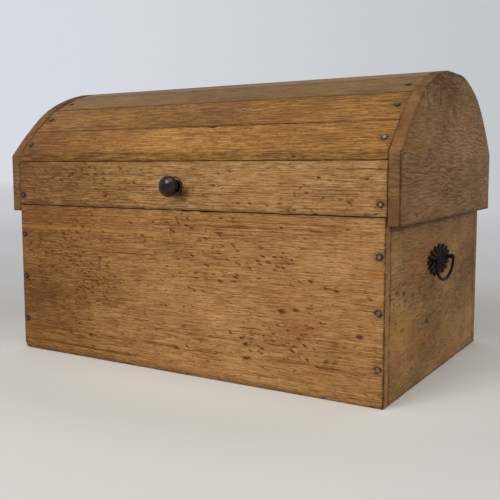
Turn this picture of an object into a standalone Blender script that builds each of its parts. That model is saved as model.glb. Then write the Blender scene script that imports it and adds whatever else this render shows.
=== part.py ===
# Dome-topped storage chest: a nailed oak box, a lid of mitred staves between end formers
# and outer cheeks, a turned iron knob, plain back hinges and two drop handles.
# It stands on Z = 0, centred on the origin, its length along X and its front towards -Y.

import math

import bmesh
import bpy
from mathutils import Matrix, Vector
from mathutils.geometry import interpolate_bezier

# Box, in metres
box_length = 0.766
box_depth = 0.512
box_height = 0.288
box_board = 0.020
plank_thickness = 0.014
plank_count = 3
plank_gap = 0.0006
rebate_depth = 0.008

# Lid
lid_board = 0.020
lid_seam = 0.0006
lid_overhang = 0.0007
lid_wall_height = 0.084
bend_height = 0.0957
crown_rise = 0.1363
former_thickness = 0.024
cheek_thickness = 0.020
cheek_drop = 0.0132
cheek_front_swell = 0.0018
cheek_back_swell = 0.0050
cheek_swell_lean = 1.5
cheek_curve_steps = 3

# Corners of the crown from the bend to the top stave: the share of the half depth that lies
# inside each corner, and the share of the crown's rise that each corner has reached
crown_run_shares = (0.820, 0.606, 0.349, 0.145)
crown_rise_shares = (0.353, 0.688, 0.908, 1.0)

# Joints and worn edges
fit = 0.0003
board_ease = 0.0012
stave_ease = 0.0006
ease_steps = 2
metal_ease = 0.0004
overrun = 0.010
weld = 0.00001
eased_angle = math.radians(30)
smooth_angle = math.radians(40)
flat_angle = math.radians(1)

# Nails
nail_head_radius = 0.0050
nail_head_height = 0.0018
nail_crown_share = 0.45
nail_shank_radius = 0.0019
nail_tip_share = 0.35
nail_length = 0.040
nail_facets = 8
box_nail_height_shares = (0.208, 0.505, 0.797)
wall_nail_height_share = 0.22
wall_nail_inset = 0.0100
stave_1_nail_inset = 0.0132
stave_2_nail_inset = 0.0147
stave_3_nail_inset = 0.0175
stave_nail_run_shares = (0.45, 0.54, 0.47)

# Knob
knob_radius = 0.0185
knob_reach = 0.0315
knob_depth_share = 0.64
knob_neck_radius = 0.0085
knob_foot_radius = 0.0162
knob_foot_height = 0.0045
knob_spindle_radius = 0.0040
knob_spindle_end = 0.0040
knob_height_share = 0.49
knob_nut_width = 0.016
knob_nut_thickness = 0.006
knob_steps = 28
knob_ball_steps = 10

# The knob's foot from the neck down: shares of the way out from the neck, and of its height
knob_foot_shares = ((0.0, 1.42), (0.35, 1.0), (0.85, 0.75), (1.0, 0.40), (1.0, 0.0))

# Handles
handle_height = 0.201
plate_drop = 0.002
plate_length = 0.130
plate_width = 0.056
plate_rim = 0.0012
plate_dome = 0.0022
petal_count = 16
petal_samples = 4
petal_ridge = 0.0016
petal_notch_share = 0.17
boss_radius = 0.0068
boss_height = 0.0042
post_spacing = 0.080
post_reach = 0.0120
post_ball_radius = 0.0047
post_neck_radius = 0.0026
post_collar_radius = 0.0052
post_collar_height = 0.0012
post_shank_radius = 0.0028
post_tail_radius = 0.0060
post_tail_height = 0.0022
post_tail_share = 0.6
post_steps = 12
post_ball_steps = 6
eye_radius = 0.0024
bail_radius = 0.0024
bail_pin_radius = 0.0018
bail_drop = 0.036
bail_corner_radius = 0.0032
bail_side_gap = 0.0005
bail_pin_end = 0.0008
bail_swell_share = 0.15
bail_steps = 22
bail_corner_steps = 4
bail_bevel_resolution = 3

# Rings of the plate from its underside up to its middle: shares of the reach, of the rim, of
# the dome and of the petals' ridge
plate_ring_shares = ((1.0, 0.0, 0.0, 0.0), (1.0, 1.0, 0.0, 0.25), (0.80, 1.0, 0.0, 1.0),
                     (0.45, 1.0, 0.6, 0.7), (0.22, 1.0, 1.0, 0.0))

# Hinges
hinge_spacing = 0.470
leaf_width = 0.038
leaf_height = 0.056
leaf_thickness = 0.0022
leaf_corner = 0.010
barrel_radius = 0.0044
barrel_facets = 20
middle_knuckle = 0.0150
knuckle_gap = 0.0004
hinge_pin_radius = 0.0022
hinge_pin_clearance = 0.0003
hinge_pin_head_radius = 0.0034
hinge_pin_head_height = 0.0012
leaf_hole_radius = 0.0021
leaf_hole_facets = 12
leaf_hole_shares = ((-0.28, 0.42), (0.28, 0.42), (0.0, 0.78))

# Colours of the finishes: red, green, blue, roughness, metallic
finishes = {
    "front_oak": (0.41, 0.22, 0.08, 0.55, 0.0),
    "end_oak": (0.27, 0.15, 0.06, 0.60, 0.0),
    "stave_oak": (0.42, 0.24, 0.09, 0.55, 0.0),
    "cheek_oak": (0.25, 0.15, 0.07, 0.60, 0.0),
    "inner_oak": (0.36, 0.23, 0.12, 0.75, 0.0),
    "nail_iron": (0.16, 0.14, 0.12, 0.50, 0.8),
    "knob_iron": (0.03, 0.025, 0.022, 0.28, 0.7),
    "handle_iron": (0.03, 0.03, 0.028, 0.45, 0.8),
    "hinge_iron": (0.05, 0.045, 0.04, 0.55, 0.8),
}

# Places worked out from the driving dimensions
half_length = box_length / 2
half_depth = box_depth / 2
lid_bottom = box_height + lid_seam
lid_half_length = half_length + lid_overhang
stave_seam = lid_bottom + lid_wall_height
bend_level = lid_bottom + bend_height
hinge_axis_y = half_depth + fit + barrel_radius
hinge_axis_z = box_height + lid_seam / 2
box_nail_x = half_length - box_board / 2
stave_nail_insets = (stave_1_nail_inset, stave_2_nail_inset, stave_3_nail_inset)
plate_face = half_length + fit
bail_axis_x = half_length + post_reach


def clear_scene():
    for item in list(bpy.data.objects):
        bpy.data.objects.remove(item)


def new_collection(name):
    collection = bpy.data.collections.new(name)
    bpy.context.scene.collection.children.link(collection)
    return collection


def new_finish(name):
    red, green, blue, roughness, metallic = finishes[name]
    finish = bpy.data.materials.new(name)
    finish.use_nodes = True
    shader = finish.node_tree.nodes["Principled BSDF"]
    shader.inputs["Base Color"].default_value = (red, green, blue, 1.0)
    shader.inputs["Roughness"].default_value = roughness
    shader.inputs["Metallic"].default_value = metallic
    return finish


def new_axis(name, place, parent=None):
    axis = bpy.data.objects.new(name, None)
    parts.objects.link(axis)
    axis.empty_display_size = box_board
    axis["place"] = place
    axis.location = place
    if parent:
        axis.parent = parent
        axis.location = Vector(place) - Vector(parent["place"])
    return axis


def add_piece(name, mesh, finish, body, place, turn=(0, 0, 0)):
    # The body's empty stands on its joint axis, so a piece's place is taken from there
    piece = bpy.data.objects.new(name, mesh)
    parts.objects.link(piece)
    piece.parent = body
    piece.location = Vector(place) - Vector(body["place"])
    piece.rotation_euler = turn
    material = new_finish(finish)
    material.name = f"{name}_{finish}"
    mesh.materials.clear()
    mesh.materials.append(material)
    return piece


def add_cutter(name, mesh, place=(0, 0, 0), turn=(0, 0, 0)):
    cutter = bpy.data.objects.new(name, mesh)
    cutters.objects.link(cutter)
    cutter.location = place
    cutter.rotation_euler = turn
    cutter.hide_render = True
    cutter.display_type = "WIRE"
    return cutter


def boolean(piece, other, operation="DIFFERENCE"):
    modifier = piece.modifiers.new(other.name, "BOOLEAN")
    modifier.operation = operation
    modifier.solver = "EXACT"
    modifier.object = other


def ease_edges(piece, width):
    modifier = piece.modifiers.new("eased_edges", "BEVEL")
    modifier.width = width
    modifier.segments = ease_steps
    modifier.limit_method = "ANGLE"
    modifier.angle_limit = eased_angle


def mesh_from(name, bm):
    mesh = bpy.data.meshes.new(name)
    bm.to_mesh(mesh)
    bm.free()
    return mesh


def block_mesh(name, low, high):
    # A block centred on its own middle; its place comes from block_centre
    bm = bmesh.new()
    bmesh.ops.create_cube(bm, size=1)
    bmesh.ops.scale(bm, verts=bm.verts, vec=Vector(high) - Vector(low))
    return mesh_from(name, bm)


def block_centre(low, high):
    return (Vector(low) + Vector(high)) / 2


def add_board(name, low, high, finish, body):
    board = add_piece(name, block_mesh(name, low, high), finish, body, block_centre(low, high))
    ease_edges(board, board_ease)
    return board


def block_cutter(name, low, high):
    return add_cutter(name, block_mesh(name, low, high), block_centre(low, high))


def rod_mesh(name, radius, low, high, facets):
    # A round rod along Z
    bm = bmesh.new()
    middle = Matrix.Translation((0, 0, (low + high) / 2))
    bmesh.ops.create_cone(bm, cap_ends=True, segments=facets, radius1=radius, radius2=radius,
                          depth=high - low, matrix=middle)
    return mesh_from(name, bm)


def outline_mesh(name, outline, thickness):
    # A flat outline in the plane of local X and Y, thickened evenly along Z
    curve = bpy.data.curves.new(name, "CURVE")
    curve.dimensions = "2D"
    curve.fill_mode = "BOTH"
    curve.extrude = thickness / 2
    spline = curve.splines.new("POLY")
    spline.points.add(len(outline) - 1)
    for point, (across, up) in zip(spline.points, outline):
        point.co = (across, up, 0, 1)
    spline.use_cyclic_u = True
    return mesh_from_curve(name, curve)


def mesh_from_curve(name, curve):
    holder = bpy.data.objects.new(name, curve)
    bpy.context.scene.collection.objects.link(holder)
    depsgraph = bpy.context.evaluated_depsgraph_get()
    mesh = bpy.data.meshes.new_from_object(holder.evaluated_get(depsgraph))
    bpy.data.objects.remove(holder)
    bm = bmesh.new()
    bm.from_mesh(mesh)
    bmesh.ops.remove_doubles(bm, verts=bm.verts, dist=weld)
    bmesh.ops.dissolve_limit(bm, angle_limit=flat_angle, verts=bm.verts, edges=bm.edges)
    bmesh.ops.recalc_face_normals(bm, faces=bm.faces)
    bm.to_mesh(mesh)
    bm.free()
    return mesh


def stand_across(mesh):
    # Local X, Y and Z become depth, height and length
    mesh.transform(Matrix(((0, 0, 1, 0), (1, 0, 0, 0), (0, 1, 0, 0), (0, 0, 0, 1))))


def turned_piece(name, profile, steps, finish, body, place, turn):
    # A profile of (radius, height) pairs from the top down its outer side, turned about Z
    mesh = bpy.data.meshes.new(name)
    corners = [(radius, 0, height) for radius, height in profile]
    mesh.from_pydata(corners, [(i, i + 1) for i in range(len(corners) - 1)], [])
    piece = add_piece(name, mesh, finish, body, place, turn)
    screw = piece.modifiers.new("turned", "SCREW")
    screw.steps = steps
    screw.render_steps = steps
    screw.use_merge_vertices = True
    screw.merge_threshold = weld
    screw.use_smooth_shade = True
    return piece


def arc_points(centre, radius, start, end, steps):
    # Points (radius, height) round an arc, both ends included, angles in degrees
    points = []
    for i in range(steps + 1):
        angle = math.radians(start + (end - start) * i / steps)
        points.append((centre[0] + radius * math.cos(angle), centre[1] + radius * math.sin(angle)))
    return points


def round_off(mesh):
    mesh.shade_smooth()
    mesh.set_sharp_from_angle(angle=smooth_angle)


def crown_half():
    # Outer corners of the front half, from the stave seam to the top stave, as (depth, height)
    corners = [(-half_depth, stave_seam), (-half_depth, bend_level)]
    for run, rise in zip(crown_run_shares, crown_rise_shares):
        corners.append((-half_depth * run, bend_level + crown_rise * rise))
    return corners


def crown_line():
    front = crown_half()
    back = [(-depth, height) for depth, height in reversed(front)]
    return front + back


def inset_line(line, distance):
    # Each corner moves inward along its mitre, so every face keeps the same thickness
    inner = []
    for i, corner in enumerate(line):
        here = Vector(corner)
        normals = []
        for j in (i - 1, i):
            if 0 <= j < len(line) - 1:
                along = (Vector(line[j + 1]) - Vector(line[j])).normalized()
                normals.append(Vector((along.y, -along.x)))
        if len(normals) == 2:
            first, second = normals
            shift = (first + second) / (1 + first.dot(second))
        else:
            shift = normals[0]
        inner.append(tuple(here + shift * distance))
    return inner


def stave_outline(first, last):
    # The stave between two mitres, each joint face drawn back by half the gap
    outer = [Vector(corner) for corner in crown_line()]
    inner = [Vector(corner) for corner in inset_line(crown_line(), lid_board)]
    start = (outer[first + 1] - outer[first]).normalized() * fit / 2
    end = (outer[last - 1] - outer[last]).normalized() * fit / 2
    outline = [outer[first] + start] + outer[first + 1:last] + [outer[last] + end]
    outline += [inner[last] + end] + inner[first + 1:last][::-1] + [inner[first] + start]
    return [tuple(corner) for corner in outline]


def stave_spans():
    # Name and first and last mitre of each stave, from the front over the top to the back
    last_corner = len(crown_line()) - 1
    top = last_corner // 2
    spans = [("front_stave_1", 0, 2)]
    for i in range(2, top):
        spans.append((f"front_stave_{i}", i, i + 1))
    spans.append(("top_stave", top, top + 1))
    for name, first, last in spans[-2::-1]:
        spans.append((name.replace("front", "back"), last_corner - last, last_corner - first))
    return spans


def cheek_curve():
    # A smooth curve through the crown's corners, from bend to bend
    corners = [Vector(corner) for corner in crown_line()[1:-1]]
    faces = [end - start for start, end in zip(corners, corners[1:])]
    courses = [(before.normalized() + after.normalized()).normalized()
               for before, after in zip(faces[:1] + faces, faces + faces[-1:])]
    curve = corners[:1]
    for i, face in enumerate(faces):
        reach = face.length / 3
        curve += interpolate_bezier(corners[i], corners[i] + courses[i] * reach,
                                    corners[i + 1] - courses[i + 1] * reach, corners[i + 1],
                                    cheek_curve_steps + 1)[1:]
    return curve


def cheek_outline():
    # The curve swells past the staves on its way to the bends, no higher than the top stave
    curve = cheek_curve()
    foot = lid_bottom - cheek_drop
    outline = [(-half_depth, foot)]
    for before, here, after in zip(curve[:1] + curve, curve, curve[1:] + curve[-1:]):
        along = (after - before).normalized()
        swell = cheek_front_swell if here.x < 0 else cheek_back_swell
        swell *= math.sin(math.pi * (abs(here.x) / half_depth) ** cheek_swell_lean)
        spot = here + Vector((-along.y, along.x)) * swell
        outline.append((spot.x, min(spot.y, bend_level + crown_rise)))
    return outline + [(half_depth, foot)]


def former_outline():
    # The space under the staves and between the upright boards, less the gap
    inner = inset_line(crown_line(), lid_board + fit)
    depth = half_depth - lid_board - fit
    return [(-depth, lid_bottom)] + inner[1:-1] + [(depth, lid_bottom)]


def nail_mesh():
    # A low faceted head over a tapering shank; the head's underside lies at Z = 0
    bm = bmesh.new()
    lift = Matrix.Translation((0, 0, nail_head_height / 2))
    bmesh.ops.create_cone(bm, cap_ends=True, segments=nail_facets, radius1=nail_head_radius,
                          radius2=nail_head_radius * nail_crown_share, depth=nail_head_height, matrix=lift)
    bm.faces.ensure_lookup_table()
    under = min(bm.faces, key=lambda face: face.calc_center_median().z)
    rim = (nail_head_radius - nail_shank_radius) * math.cos(math.pi / nail_facets)
    bmesh.ops.inset_region(bm, faces=[under], thickness=rim, use_even_offset=True)
    shank = bmesh.ops.extrude_discrete_faces(bm, faces=[under])["faces"][0]
    bmesh.ops.translate(bm, verts=shank.verts, vec=(0, 0, -nail_length))
    tip = Matrix.Translation((0, 0, nail_length))
    bmesh.ops.scale(bm, verts=shank.verts, vec=(nail_tip_share, nail_tip_share, 1), space=tip)
    return mesh_from("nail", bm)


def facing(normal):
    # Turn about X that points local Z along a normal in the depth-height plane
    return math.atan2(-normal[1], normal[2])


def hole_cutter(name, spots):
    # One cutter for a row of nails: each spot is (place on the face, outward normal)
    bm = bmesh.new()
    length = nail_length + fit + overrun
    for place, normal in spots:
        sink = Matrix.Translation((0, 0, overrun - length / 2))
        stand = Matrix.Translation(place) @ Matrix.Rotation(facing(normal), 4, "X") @ sink
        bmesh.ops.create_cone(bm, cap_ends=True, segments=nail_facets, radius1=nail_shank_radius + fit,
                              radius2=nail_shank_radius + fit, depth=length, matrix=stand)
    return add_cutter(name, mesh_from(name, bm))


def add_nails(names, spots, body):
    for name, (place, normal) in zip(names, spots):
        seat = Vector(place) + Vector(normal) * fit
        add_piece(name, nail_mesh(), "nail_iron", body, seat, (facing(normal), 0, 0))


def build_box(body):
    inner_length = half_length - box_board
    inner_depth = half_depth - box_board
    front = add_board("front_board", (-half_length, -half_depth, 0),
                      (half_length, -inner_depth, box_height), "front_oak", body)
    back = add_board("back_board", (-half_length, inner_depth, 0),
                     (half_length, half_depth, box_height), "front_oak", body)
    ends = {}
    for side, sign in (("left", -1), ("right", 1)):
        near, far = sorted((sign * inner_length, sign * half_length))
        ends[side] = add_board(f"{side}_end_board", (near, -inner_depth + fit, 0),
                               (far, inner_depth - fit, box_height), "end_oak", body)
    build_bottom(body, (front, back, ends["left"], ends["right"]))
    nail_box(body, {"front": front, "back": back}, ends)
    return ends


def build_bottom(body, boards):
    # Planks along the length, let into one rebate that runs round the four boards
    reach_x = half_length - box_board + rebate_depth
    reach_y = half_depth - box_board + rebate_depth
    rebate = block_cutter("bottom_rebate", (-reach_x, -reach_y, -overrun),
                          (reach_x, reach_y, plank_thickness + fit))
    for board in boards:
        boolean(board, rebate)
    plank_width = (2 * (reach_y - fit) - (plank_count - 1) * plank_gap) / plank_count
    for i in range(plank_count):
        near = -reach_y + fit + i * (plank_width + plank_gap)
        plank = add_board(f"bottom_plank_{i + 1}", (-reach_x + fit, near, 0),
                          (reach_x - fit, near + plank_width, plank_thickness), "inner_oak", body)
        plank.modifiers["eased_edges"].width = stave_ease


def nail_box(body, faces, ends):
    for face, board in faces.items():
        turn = -1 if face == "front" else 1
        for side, sign in (("left", -1), ("right", 1)):
            spots = [((sign * box_nail_x, turn * half_depth, box_height * share), (0, turn, 0))
                     for share in box_nail_height_shares]
            holes = hole_cutter(f"{side}_{face}_nail_holes", spots)
            boolean(board, holes)
            boolean(ends[side], holes)
            names = [f"box_nail_{face}_{side}_{i + 1}" for i in range(len(spots))]
            add_nails(names, spots, body)


def face_spot(start, end, share, x):
    # Place and outward normal at a share of the way along one face of the crown
    start, end = Vector(start), Vector(end)
    along = (end - start).normalized()
    middle = start + (end - start) * share
    return (x, middle.x, middle.y), (0, -along.y, along.x)


def build_lid(body):
    wall_top = stave_seam - fit / 2
    boards = {}
    for face, sign in (("front", -1), ("back", 1)):
        near, far = sorted((sign * (half_depth - lid_board), sign * half_depth))
        boards[face] = add_board(f"lid_{face}_board", (-lid_half_length, near, lid_bottom),
                                 (lid_half_length, far, wall_top), "front_oak", body)
    staves = {}
    for name, first, last in stave_spans():
        mesh = outline_mesh(name, stave_outline(first, last), 2 * lid_half_length)
        stand_across(mesh)
        staves[name] = add_piece(name, mesh, "stave_oak", body, (0, 0, 0))
        ease_edges(staves[name], stave_ease)
    for side, sign in (("left", -1), ("right", 1)):
        former = add_end_plate(f"{side}_former", former_outline(), former_thickness,
                               sign * (lid_half_length - former_thickness / 2), "inner_oak", body)
        cheek_middle = lid_half_length + fit + cheek_thickness / 2
        cheek = add_end_plate(f"{side}_cheek", cheek_outline(), cheek_thickness,
                              sign * cheek_middle, "cheek_oak", body)
        ease_edges(former, stave_ease)
        ease_edges(cheek, board_ease)
        nail_lid(body, side, sign, former, boards["front"], staves)
    return boards["front"]


def add_end_plate(name, outline, thickness, x, finish, body):
    mesh = outline_mesh(name, outline, thickness)
    stand_across(mesh)
    return add_piece(name, mesh, finish, body, (x, 0, 0))


def nail_lid(body, side, sign, former, front_board, staves):
    # One nail in the upright board and one in each of the lower front staves
    line = crown_line()
    foot = (-half_depth, lid_bottom)
    x = sign * (lid_half_length - wall_nail_inset)
    spots = [face_spot(foot, line[0], wall_nail_height_share, x)]
    names = [f"lid_nail_board_{side}"]
    pierced = [front_board]
    for i, (inset, share) in enumerate(zip(stave_nail_insets, stave_nail_run_shares), 1):
        x = sign * (lid_half_length - inset)
        spots.append(face_spot(line[i], line[i + 1], share, x))
        names.append(f"lid_nail_stave_{i}_{side}")
        pierced.append(staves[f"front_stave_{i}"])
    holes = hole_cutter(f"{side}_lid_nail_holes", spots)
    for piece in pierced + [former]:
        boolean(piece, holes)
    add_nails(names, spots, body)


def knob_profile():
    # From the crown of the flattened ball down to the end of the spindle; the board's face is Z = 0
    middle = knob_reach - knob_radius * knob_depth_share
    neck_angle = -math.degrees(math.acos(knob_neck_radius / knob_radius))
    ball = [(radius, middle + height * knob_depth_share)
            for radius, height in arc_points((0, 0), knob_radius, 90, neck_angle, knob_ball_steps)]
    ball[0] = (0, knob_reach)
    lip = knob_foot_radius - knob_neck_radius
    foot = [(knob_neck_radius + lip * out, fit + knob_foot_height * up) for out, up in knob_foot_shares]
    end = -(lid_board + fit + knob_nut_thickness + knob_spindle_end)
    spindle = [(knob_spindle_radius, fit), (knob_spindle_radius, end), (0, end)]
    return ball + foot + spindle


def build_knob(body, front_board):
    height = lid_bottom + lid_wall_height * knob_height_share
    face = (0, -half_depth, height)
    turn = (math.pi / 2, 0, 0)
    turned_piece("knob", knob_profile(), knob_steps, "knob_iron", body, face, turn)
    reach = lid_board + knob_nut_thickness + overrun
    hole = rod_mesh("knob_hole", knob_spindle_radius + fit, -reach, overrun, knob_steps)
    hole = add_cutter("knob_hole", hole, face, turn)
    boolean(front_board, hole)
    nut_face = -half_depth + lid_board + fit
    half_nut = knob_nut_width / 2
    low = (-half_nut, nut_face, height - half_nut)
    high = (half_nut, nut_face + knob_nut_thickness, height + half_nut)
    nut = add_piece("knob_nut", block_mesh("knob_nut", low, high), "hinge_iron", body, block_centre(low, high))
    ease_edges(nut, metal_ease)
    boolean(nut, hole)


def petal_wave(angle):
    # One in the middle of each petal, nothing in the grooves between them
    return abs(math.cos(petal_count * angle / 2))


def plate_mesh(name):
    # A fluted oval: rings from the rim's underside up over the petals to the middle
    bm = bmesh.new()
    loops = []
    for out, rim, dome, ridge in plate_ring_shares:
        ring = bmesh.ops.create_circle(bm, segments=petal_count * petal_samples, radius=1)["verts"]
        for corner in ring:
            angle = math.atan2(corner.co.y, corner.co.x)
            wave = petal_wave(angle)
            reach = out * (1 - petal_notch_share * (1 - wave) * out)
            corner.co.x = math.cos(angle) * reach * plate_length / 2
            corner.co.y = math.sin(angle) * reach * plate_width / 2
            corner.co.z = plate_rim * rim + plate_dome * dome + petal_ridge * ridge * wave
        loops.append(list({edge for corner in ring for edge in corner.link_edges}))
    bmesh.ops.contextual_create(bm, geom=loops[0])
    bmesh.ops.contextual_create(bm, geom=loops[-1])
    for lower, upper in zip(loops, loops[1:]):
        bmesh.ops.bridge_loops(bm, edges=lower + upper)
    bmesh.ops.recalc_face_normals(bm, faces=bm.faces)
    return mesh_from(name, bm)


def post_profile():
    # From the crown of the ball down the neck and collar, through plate and board to the
    # peened tail; Z = 0 is the end board's face
    ball_end = -math.degrees(math.acos(post_neck_radius / post_ball_radius))
    ball = arc_points((0, post_reach), post_ball_radius, 90, ball_end, post_ball_steps)
    ball[0] = (0, post_reach + post_ball_radius)
    collar_foot = fit + boss_height + fit
    collar_top = collar_foot + post_collar_height
    tail_top = -box_board - fit
    tail_end = tail_top - post_tail_height
    return ball + [(post_neck_radius, collar_top), (post_collar_radius, collar_top),
                   (post_collar_radius, collar_foot), (post_shank_radius, collar_foot),
                   (post_shank_radius, tail_top), (post_tail_radius, tail_top),
                   (post_tail_radius * post_tail_share, tail_end), (0, tail_end)]


def build_handle(side, sign, body, swing, end_board):
    turn = (0, sign * math.pi / 2, 0)
    plate_turn = (math.pi / 2, 0, sign * math.pi / 2)
    place = (sign * plate_face, 0, handle_height - plate_drop)
    plate = add_piece(f"{side}_handle_plate", plate_mesh("plate"), "handle_iron", body, place, plate_turn)
    eye = rod_mesh("eye", eye_radius, -post_spacing, post_spacing, post_steps)
    eye = add_cutter(f"{side}_eyes", eye, (sign * bail_axis_x, 0, handle_height), (math.pi / 2, 0, 0))
    for which, across in (("front", -1), ("back", 1)):
        seat = (sign * half_length, across * post_spacing / 2, handle_height)
        boss = rod_mesh("boss", boss_radius, fit + plate_rim / 2, fit + boss_height, post_steps)
        boolean(plate, add_cutter(f"{side}_{which}_boss", boss, seat, turn), "UNION")
        hole = rod_mesh("hole", post_shank_radius + fit, -box_board - overrun, overrun, post_steps)
        hole = add_cutter(f"{side}_{which}_post_hole", hole, seat, turn)
        boolean(plate, hole)
        boolean(end_board, hole)
        post = turned_piece(f"{side}_{which}_post", post_profile(), post_steps, "handle_iron",
                            body, seat, turn)
        boolean(post, eye)
    build_bail(side, swing, (sign * bail_axis_x, 0, handle_height))


def bail_line():
    # Half of the bail's centre line, from the pin in one eye to the lowest point, with the
    # rod's radius at each point
    arm = post_spacing / 2 + post_ball_radius + bail_side_gap + bail_corner_radius
    inner = post_spacing / 2 - post_ball_radius - bail_pin_end
    pin_share = bail_pin_radius / bail_radius
    line = [(inner, 0, pin_share), (post_spacing / 2, 0, pin_share),
            (arm - bail_corner_radius - bail_side_gap / 2, 0, pin_share)]
    centre = (arm - bail_corner_radius, -bail_corner_radius)
    for across, up in arc_points(centre, bail_corner_radius, 90, 0, bail_corner_steps):
        line.append((across, up, 1))
    steps = bail_steps // 2
    for i in range(1, steps + 1):
        angle = math.pi / 2 * i / steps
        fall = bail_corner_radius + (bail_drop - bail_corner_radius) * math.sin(angle)
        swell = 1 + bail_swell_share * math.sin(angle) ** 2
        line.append((arm * math.cos(angle), -fall, swell))
    return line


def build_bail(side, swing, axis):
    half = bail_line()
    line = half + [(-across, up, share) for across, up, share in reversed(half[:-1])]
    curve = bpy.data.curves.new(f"{side}_bail", "CURVE")
    curve.dimensions = "3D"
    curve.bevel_depth = bail_radius
    curve.bevel_resolution = bail_bevel_resolution
    curve.use_fill_caps = True
    spline = curve.splines.new("POLY")
    spline.points.add(len(line) - 1)
    for point, (across, up, share) in zip(spline.points, line):
        point.co = (0, across, up, 1)
        point.radius = share
    mesh = mesh_from_curve(f"{side}_bail", curve)
    round_off(mesh)
    add_piece(f"{side}_bail", mesh, "handle_iron", swing, axis)


def leaf_outline(sign):
    # A strap with clipped corners, from the hinge axis away; sign is +1 upwards
    half = leaf_width / 2
    near = leaf_height - leaf_corner
    corners = [(-half, 0), (half, 0), (half, near), (half - leaf_corner, leaf_height),
               (leaf_corner - half, leaf_height), (-half, near)]
    return [(across, sign * up) for across, up in corners]


def build_leaf(name, sign, gaps, body, axis):
    mesh = outline_mesh(name, leaf_outline(sign), leaf_thickness)
    mesh.transform(Matrix.Rotation(math.pi / 2, 4, "X"))
    mesh.transform(Matrix.Translation((0, leaf_thickness / 2 - barrel_radius, 0)))
    leaf = add_piece(name, mesh, "hinge_iron", body, axis)
    across = (0, math.pi / 2, 0)
    half = leaf_width / 2
    barrel = rod_mesh("barrel", barrel_radius, -half, half, barrel_facets)
    boolean(leaf, add_cutter(f"{name}_barrel", barrel, axis, across), "UNION")
    clear = barrel_radius + knuckle_gap
    for i, (low, high) in enumerate(gaps):
        gap = block_mesh("gap", (low, -clear, -clear), (high, clear, clear))
        centre = Vector(axis) + Vector(((low + high) / 2, 0, 0))
        boolean(leaf, add_cutter(f"{name}_gap_{i + 1}", gap, centre))
    bore = rod_mesh("bore", hinge_pin_radius + hinge_pin_clearance, -leaf_width, leaf_width, barrel_facets)
    boolean(leaf, add_cutter(f"{name}_bore", bore, axis, across))
    for i, (run, rise) in enumerate(leaf_hole_shares):
        place = Vector(axis) + Vector((leaf_width * run, 0, sign * leaf_height * rise))
        hole = rod_mesh("hole", leaf_hole_radius, -overrun, overrun, leaf_hole_facets)
        boolean(leaf, add_cutter(f"{name}_hole_{i + 1}", hole, place, (math.pi / 2, 0, 0)))


def hinge_pin_profile():
    head = leaf_width / 2 + fit
    end = head + hinge_pin_head_height
    crown = hinge_pin_head_radius * nail_crown_share
    return [(0, end), (crown, end), (hinge_pin_head_radius, head), (hinge_pin_radius, head),
            (hinge_pin_radius, -head), (hinge_pin_head_radius, -head), (crown, -end), (0, -end)]


def build_hinge(side, sign, box_body, lid_body):
    axis = (sign * hinge_spacing / 2, hinge_axis_y, hinge_axis_z)
    middle = middle_knuckle / 2
    end = leaf_width / 2 + overrun
    clear = middle + knuckle_gap
    build_leaf(f"{side}_hinge_box_leaf", -1, [(-clear, clear)], box_body, axis)
    build_leaf(f"{side}_hinge_lid_leaf", 1, [(-end, -middle), (middle, end)], lid_body, axis)
    turned_piece(f"{side}_hinge_pin", hinge_pin_profile(), barrel_facets, "hinge_iron", box_body,
                 axis, (0, math.pi / 2, 0))


def build_chest():
    frame = new_axis("chest_frame", (0, 0, 0))
    lid_axis = new_axis("lid_axis", (0, hinge_axis_y, hinge_axis_z), frame)
    ends = build_box(frame)
    lid_front = build_lid(lid_axis)
    build_knob(lid_axis, lid_front)
    for side, sign in (("left", -1), ("right", 1)):
        build_hinge(side, sign, frame, lid_axis)
        swing = new_axis(f"{side}_bail_axis", (sign * bail_axis_x, 0, handle_height), frame)
        build_handle(side, sign, frame, swing, ends[side])


clear_scene()
parts = new_collection("storage_chest")
cutters = new_collection("cutters")
build_chest()
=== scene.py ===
import math
import random

import bmesh
import bpy
from mathutils import Matrix, Vector, kdtree, noise


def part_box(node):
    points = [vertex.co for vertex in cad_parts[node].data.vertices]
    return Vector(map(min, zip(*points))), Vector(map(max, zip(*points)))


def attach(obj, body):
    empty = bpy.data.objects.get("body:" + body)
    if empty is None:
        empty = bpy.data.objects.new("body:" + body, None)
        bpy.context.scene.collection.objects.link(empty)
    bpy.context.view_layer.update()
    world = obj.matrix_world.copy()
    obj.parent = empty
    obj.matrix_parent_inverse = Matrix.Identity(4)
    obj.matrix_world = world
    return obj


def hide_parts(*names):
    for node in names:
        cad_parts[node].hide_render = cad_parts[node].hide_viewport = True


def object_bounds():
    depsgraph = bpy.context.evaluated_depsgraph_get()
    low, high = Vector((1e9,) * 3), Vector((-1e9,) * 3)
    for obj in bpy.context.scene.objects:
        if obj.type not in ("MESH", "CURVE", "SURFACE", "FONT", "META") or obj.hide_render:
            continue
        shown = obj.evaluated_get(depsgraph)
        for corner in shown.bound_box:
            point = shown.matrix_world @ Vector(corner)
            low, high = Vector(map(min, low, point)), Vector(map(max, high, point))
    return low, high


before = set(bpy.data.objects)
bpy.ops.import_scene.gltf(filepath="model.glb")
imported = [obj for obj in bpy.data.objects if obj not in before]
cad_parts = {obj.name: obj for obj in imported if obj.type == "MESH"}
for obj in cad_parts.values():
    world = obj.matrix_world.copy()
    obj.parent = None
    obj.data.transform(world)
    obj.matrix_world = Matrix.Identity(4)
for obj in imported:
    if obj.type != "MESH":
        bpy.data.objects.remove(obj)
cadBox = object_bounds()
print("frame loaded:", len(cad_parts), "solids")


def tone(red, green, blue):
    # A colour read as 0 to 255 on screen, as the linear values that shaders take
    levels = []
    for level in (red, green, blue):
        level /= 255
        levels.append(level / 12.92 if level <= 0.04045 else ((level + 0.055) / 1.055) ** 2.4)
    return (*levels, 1.0)


# Node trees, in which plain arithmetic adds the maths nodes

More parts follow.
